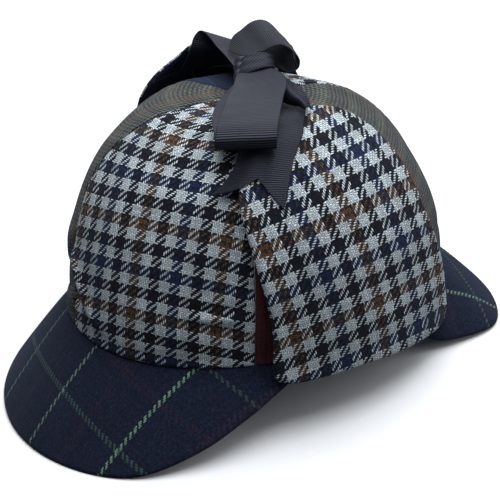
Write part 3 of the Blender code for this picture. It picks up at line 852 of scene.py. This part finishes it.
# Bow. One grosgrain ribbon 31 mm wide from the end of each flap, tied over the crown's
# top in a bow with two loops and two hanging tails. Each part is a strip 0.8 mm thick,
# given by sections between its two selvedges in a frame of the bow's own: to the right
# as seen from BOW_TURN, towards there, and above the crown's top.
BOW_TURN = math.radians(65.0)
CROWN_TOP, CROWN_TOP_Y = CROWN_ROWS[-1][:2]
RIBBON_THICKNESS = 0.8
SELVEDGE_ROUNDING = 0.7
RIBBONS = {
    # one selvedge's side, reach and height, then the other's
    "bow_loop_front": (
        (-2.0, 4.5, 12.4, 14.5, 3.5, 14.4),
        (-3.2, 13.5, 12.6, 20.8, 11.0, 14.0),
        (-4.6, 23.5, 11.8, 22.2, 20.0, 12.8),
        (-7.3, 33.3, 10.8, 20.6, 31.0, 11.8),
        (-9.5, 45.5, 9.0, 18.8, 44.0, 9.8),
        (-11.6, 55.0, 6.9, 17.4, 54.5, 7.6),
        (-12.5, 60.8, 3.6, 16.6, 60.5, 4.4),
        (-12.8, 61.8, 0.4, 16.4, 61.6, 1.0),
        (-12.8, 59.5, -2.6, 16.4, 59.5, -2.2),
        (-13.4, 50.0, 0.8, 17.0, 48.0, 2.2),
        (-14.6, 38.6, 2.2, 17.5, 36.0, 5.6),
        (-13.6, 26.5, 3.4, 17.5, 25.0, 7.8),
        (-10.4, 17.4, 5.2, 15.5, 15.0, 9.2),
        (-4.4, 9.0, 8.4, 12.5, 8.6, 11.0),
    ),
    "bow_loop_rear": (
        (2.2, -4.0, 17.6, -6.8, -22.0, 14.5),
        (6.6, -3.0, 20.0, -4.6, -28.5, 18.6),
        (11.4, -2.0, 21.6, 1.0, -30.5, 23.4),
        (15.6, -1.5, 23.9, 7.0, -31.0, 27.2),
        (20.4, -1.0, 25.2, 13.0, -31.0, 26.6),
        (25.0, -1.0, 22.0, 19.0, -30.5, 20.8),
        (28.4, -1.0, 17.0, 24.0, -30.0, 15.0),
        (27.8, -1.2, 12.6, 25.6, -29.5, 14.0),
        (23.6, -1.8, 10.7, 20.5, -28.5, 16.0),
        (19.4, -2.6, 12.6, 12.5, -27.0, 17.2),
        (11.5, -6.5, 13.4, 4.0, -23.0, 16.0),
    ),
    "ribbon_right": (
        (-4.2, -3.5, 13.2, 2.0, -8.2, 11.0),
        (-8.5, -17.0, 13.4, 3.0, -21.0, 9.0),
        (-12.5, -26.0, 14.2, 3.5, -30.0, 8.6),
        (-16.0, -33.0, 16.0, 2.0, -36.0, 9.6),
        (-19.3, -38.2, 18.0, 0.5, -40.0, 10.8),
        (-22.6, -40.2, 18.6, -0.8, -42.0, 10.8),
        (-25.4, -39.6, 15.4, -1.5, -43.2, 8.4),
        (-27.4, -38.8, 9.5, -2.2, -44.6, 3.6),
        (-30.4, -42.0, 0.8, -3.0, -50.5, -3.0),
        (-33.3, -47.0, -6.0, -3.0, -56.0, -8.5),
    ),
}
# The ribbon from the near flap is folded lengthwise: outer selvedge, fold, and inner one.
RIBBON_LEFT = (
    (16.6, 1.5, 9.4, 10.0, 8.6, 9.0, 8.0, 9.0, 3.4),
    (20.5, 3.0, 9.2, 17.0, 12.0, 9.8, 13.6, 13.0, 2.9),
    (25.0, 8.5, 8.6, 21.8, 19.0, 10.0, 19.6, 17.6, 2.7),
    (29.4, 15.5, 7.6, 25.6, 25.0, 9.2, 23.8, 23.0, 3.4),
    (32.2, 23.5, 6.0, 29.4, 29.6, 7.8, 28.4, 28.0, 4.6),
    (33.2, 30.0, 4.6, 31.4, 33.0, 5.8, 30.8, 32.4, 4.6),
)
# The tails lie on the crown: turn and climb of one selvedge and of the other, and offset.
TAILS = {
    "bow_tail_left": (
        (58.0, 0.93, 128.0, 0.91, 2.4),
        (66.0, 0.86, 107.0, 0.83, 6.6),
        (66.5, 0.77, 96.0, 0.74, 7.2),
        (64.0, 0.67, 87.5, 0.66, 7.5),
        (59.5, 0.60, 82.5, 0.57, 7.7),
        (55.8, 0.56, 79.0, 0.49, 7.9),
    ),
    "bow_tail_right": (
        (205.0, 0.93, 255.0, 0.93, 3.4),
        (230.0, 0.86, 266.0, 0.82, 3.6),
        (240.0, 0.76, 268.0, 0.71, 3.4),
        (242.0, 0.66, 267.0, 0.61, 3.4),
        (243.0, 0.56, 266.0, 0.52, 3.4),
    ),
}
# The notch's depth as a share of a tail's length, and how much of its width turns down.
TAIL_NOTCH = 0.26
TAIL_TURNED = 0.38

# Black grosgrain: ribbon of rayon over a thick cotton weft, so fine ribs run from selvedge
# to selvedge. They catch the light as a satin grey on top and leave it dead black below.
RIB_PITCH = 1.15
grosgrain = bpy.data.materials.new("black_grosgrain_ribbon")
grosgrain.use_nodes = True
strip = add_node(grosgrain, "ShaderNodeUVMap", {"uv_map": "cloth"})
wander = add_node(
    grosgrain, "ShaderNodeTexNoise", None, {"Vector": strip, "Scale": 90.0, "Detail": 2.0}
)
wander_small = add_node(
    grosgrain, "ShaderNodeVectorMath", {"operation": "SCALE"},
    {0: wander.outputs["Color"], "Scale": 0.0006},
)
strip_place = add_node(
    grosgrain, "ShaderNodeVectorMath", {"operation": "ADD"}, {0: strip, 1: wander_small}
)
strip_axes = add_node(grosgrain, "ShaderNodeSeparateXYZ", None, {0: strip_place})
rib_count = add_node(
    grosgrain, "ShaderNodeMath", {"operation": "MULTIPLY"},
    {0: strip_axes.outputs[1], 1: 1000.0 / RIB_PITCH},
)
rib_part = add_node(grosgrain, "ShaderNodeMath", {"operation": "PINGPONG"}, {0: rib_count, 1: 0.5})
rib_wave = add_node(
    grosgrain, "ShaderNodeMapRange", {"interpolation_type": "SMOOTHSTEP"}, {0: rib_part, 2: 0.5}
)
rib_number = add_node(grosgrain, "ShaderNodeMath", {"operation": "FLOOR"}, {0: rib_count})
rib_random = add_node(
    grosgrain, "ShaderNodeTexWhiteNoise", {"noise_dimensions": "1D"}, {"W": rib_number}
)
rib_tone = add_node(grosgrain, "ShaderNodeMapRange", None, {0: rib_random, 3: 0.8, 4: 1.2})
# A rib's crest is glossy, and the groove beside it dull, with its colour darkened there as painted
# shade.
rib_groove_shade = add_node(grosgrain, "ShaderNodeMapRange", None, {0: rib_wave, 3: 0.45, 4: 1.10})
rib_gloss = add_node(grosgrain, "ShaderNodeMapRange", None, {0: rib_wave, 3: 0.72, 4: 0.34})
# Each rib's own tone, times the painted shade of its groove.
rib_tone_and_shade = add_node(
    grosgrain, "ShaderNodeMath", {"operation": "MULTIPLY"}, {0: rib_tone, 1: rib_groove_shade}
)
ribbon_colour = add_node(
    grosgrain, "ShaderNodeVectorMath", {"operation": "SCALE"},
    {0: linear("#14161E")[:3], "Scale": rib_tone_and_shade},
)
ribbon_bump = add_node(
    grosgrain, "ShaderNodeBump", None, {"Strength": 0.8, "Distance": 0.00026, "Height": rib_wave}
)
ribbon_shader = grosgrain.node_tree.nodes["Principled BSDF"]
grosgrain.node_tree.links.new(ribbon_colour.outputs[0], ribbon_shader.inputs["Base Color"])
grosgrain.node_tree.links.new(ribbon_bump.outputs[0], ribbon_shader.inputs["Normal"])
grosgrain.node_tree.links.new(rib_gloss.outputs[0], ribbon_shader.inputs["Roughness"])
ribbon_shader.inputs["Specular IOR Level"].default_value = 0.42
ribbon_shader.inputs["Specular Tint"].default_value = linear("#DDE3F5")
ribbon_shader.inputs["Sheen Weight"].default_value = 0.06
ribbon_shader.inputs["Sheen Roughness"].default_value = 0.35
ribbon_shader.inputs["Sheen Tint"].default_value = linear("#C9CEDD")


def from_bow(sections):
    """Points of the bow's frame (side, reach, height) in the hat's frame."""
    side, reach, height = sections[..., 0], sections[..., 1], sections[..., 2]
    return np.stack([
        side * math.cos(BOW_TURN) + reach * math.sin(BOW_TURN),
        CROWN_TOP_Y + side * math.sin(BOW_TURN) - reach * math.cos(BOW_TURN),
        CROWN_TOP + height,
    ], -1)


def ribbon_piece(name, outer, creasing, seed, along=None):
    """A strip of ribbon under a grid of points, with rounded selvedges and, across it,
    the soft wrinkles of a ribbon that has been tied. Where the rows of the grid follow a
    cut end, along says how far down the ribbon each point lies, from 0 to 1, so that the
    ribs still run straight across."""
    normal = square_to(outer)
    across, run = lengths(outer, 1), lengths(outer, 0)
    edge = np.minimum(across, across[:, -1:] - across)
    u = across - 0.5 * across[:, -1:]
    v = run.max(axis=1)[:, None] if along is None else along * run[-1, 0]
    v = np.broadcast_to(v, u.shape)
    wrinkle = lumps(0.22 * u, v, 5.0, seed) + 0.8 * lumps(0.5 * u, 0.6 * v, 14.0, seed + 1)
    half = 0.5 * RIBBON_THICKNESS
    middle = outer + (creasing * wrinkle - half)[..., None] * normal
    # The selvedge is a cord 1 mm wide, with a fine groove inside it.
    thick = half * rounded(edge, SELVEDGE_ROUNDING, 0.12) - 0.10 * ridge_at(edge, 1.5, 0.35)
    wall = thick[..., None] * normal
    piece = cloth_piece(
        name, middle + wall, middle - wall, np.stack([u, v], -1), (grosgrain,)
    )


def strip_columns(count):
    """Places across a ribbon, closer together at its selvedges."""
    edge = np.array([0.0, 0.006, 0.014, 0.024, 0.04])
    return np.concatenate([edge, np.linspace(0.06, 0.94, count), 1.0 - edge[::-1]])


for name, facing, creasing, seed, held, rests_on in (
    ("bow_loop_front", 1, 0.15, 71, "folded", ["crown_panel_front_left", "bow_knot"]),
    ("bow_loop_rear", 1, 0.25, 73, "folded", ["bow_knot"]),
    ("ribbon_right", -1, 0.16, 75, "laid", ["ear_flap_right", "bow_knot"]),
):
    sections = row_at(RIBBONS[name], np.linspace(0.0, 1.0, 24 * len(RIBBONS[name])))
    share = strip_columns(30)[None, :, None]
    one, other = from_bow(sections[:, None, 0:3]), from_bow(sections[:, None, 3:6])
    outer = one + (other - one) * share
    ribbon_piece(name, outer[:, ::facing], creasing, seed)

sections = row_at(RIBBON_LEFT, np.linspace(0.0, 1.0, 90))
across = strip_columns(44)
# A rounded fold: a curve through the outer selvedge, the fold and the inner one.
bend = np.stack([(1.0 - across) ** 2, 2.0 * across * (1.0 - across), across**2], -1)
corner = 2.0 * sections[:, 3:6] - 0.5 * (sections[:, 0:3] + sections[:, 6:9])
folded = sum(
    from_bow(part)[:, None, :] * bend[None, :, k, None]
    for k, part in enumerate((sections[:, 0:3], corner, sections[:, 6:9]))
)
ribbon_piece("ribbon_left", folded[:, ::-1], 0.08, 77)

for name, fall, rests_on in (
    ("bow_tail_left", 5.0, ["ear_flap_left", "crown_panel_front_left"]),
    ("bow_tail_right", 0.0, ["crown_panel_right", "crown_panel_rear_right"]),
):
    across = strip_columns(40)
    cut = 1.0 - TAIL_NOTCH * (1.0 - np.abs(2.0 * across - 1.0))
    along = np.linspace(0.0, 1.0, 130)[:, None] * cut[None, :]
    rows = row_at(TAILS[name], along)
    turn_a, climb_a, turn_b, climb_b, offset = (rows[..., k] for k in range(5))
    # The selvedge towards the front is turned down to the crown, out of the light.
    offset = offset - fall * np.clip(1.0 - across / TAIL_TURNED, 0.0, 1.0) ** 1.3
    outer = off_crown(
        turn_a + (turn_b - turn_a) * across, climb_a + (climb_b - climb_a) * across, offset
    )
    ribbon_piece(name, outer[:, ::-1], 0.10, 81, along[:, ::-1])


# Knot. The same ribbon wrapped once round the waist of the bow, over the roots of the
# loops, and pulled tight: a band that leans back with the rear loop, its edges rolled in.
KNOT_CENTRE = np.array((6.2, 0.2, 14.0))
KNOT_SIDE = np.array((0.965, -0.05, 0.255))
KNOT_BACK = np.array((0.0, -0.82, 0.57))
KNOT_OUT = np.cross(KNOT_SIDE, KNOT_BACK)
KNOT_HALF = (10.6, 5.3, 5.4)
# Half of the band's profile, from its rolled edge to its middle: how far along, how wide.
KNOT_PROFILE = (
    (-0.6, 0.06), (-0.88, 0.40), (-1.0, 0.74), (-1.02, 0.90), (-0.97, 0.97),
    (-0.86, 1.0), (-0.6, 1.0), (-0.3, 1.0), (0.0, 1.0),
)
# On the left the band's end shows as a second layer, with a dark fold between: how deep
# the fold is, where round the wrap it lies, and how far it leans and spreads, in radians.
TUCK_DEPTH, TUCK_AT, TUCK_LEAN, TUCK_SPREAD = 0.72, 3.90, 0.30, 0.09
band = np.array(KNOT_PROFILE)
band = np.vstack([band, band[-2::-1] * (-1.0, 1.0)])
step_at = np.linspace(0.0, len(band) - 1.0, 65)
run, girth = (np.interp(step_at, np.arange(len(band)), part) for part in band.T)
smoothing = np.ones(5) / 5.0
run, girth = (np.convolve(np.pad(part, 2, "edge"), smoothing, "valid") for part in (run, girth))
wrap_grid, run_grid = np.meshgrid(np.linspace(0.0, 2.0 * math.pi, 145), run)
girth_grid = np.broadcast_to(girth[:, None], run_grid.shape)
pleats = 0.018 * np.sin(run_grid * 8.0 + 1.6 * np.cos(wrap_grid))
pleats *= smooth_step(girth_grid, 0.7, 0.95)
tuck = -TUCK_DEPTH * ridge_at(wrap_grid, TUCK_AT + TUCK_LEAN * run_grid, TUCK_SPREAD)
tuck *= smooth_step(girth_grid, 0.4, 0.8)
swell = girth_grid + pleats + tuck
taper = 1.02 - 0.26 * np.cos(wrap_grid)
knot_points = (
    KNOT_CENTRE
    + (KNOT_HALF[0] * np.cos(wrap_grid) * swell)[..., None] * KNOT_SIDE
    + (KNOT_HALF[1] * run_grid * taper)[..., None] * KNOT_BACK
    + (KNOT_HALF[2] * np.sin(wrap_grid) * swell)[..., None] * KNOT_OUT
)
knot_core = KNOT_CENTRE + (0.8 * KNOT_HALF[1] * run_grid)[..., None] * KNOT_BACK
knot_outer = from_bow(knot_points)
knot_inner = from_bow(knot_points + (knot_core - knot_points) * 0.16)
# The ribbon is pulled askew and drawn together here, so its ribs slant: millimetres of it
# for each step of the wrap and of the profile, and how far the profile draws it askew.
KNOT_RIBBON, KNOT_ASKEW = 5.2, 3.6
knot_flat = np.stack(
    [run_grid * KNOT_RIBBON, wrap_grid * KNOT_RIBBON - run_grid * KNOT_ASKEW], -1
)
knot = cloth_piece(
    "bow_knot", knot_outer[::-1], knot_inner[::-1], knot_flat[::-1], (grosgrain,)
)
size, area = cut_size(knot_outer)
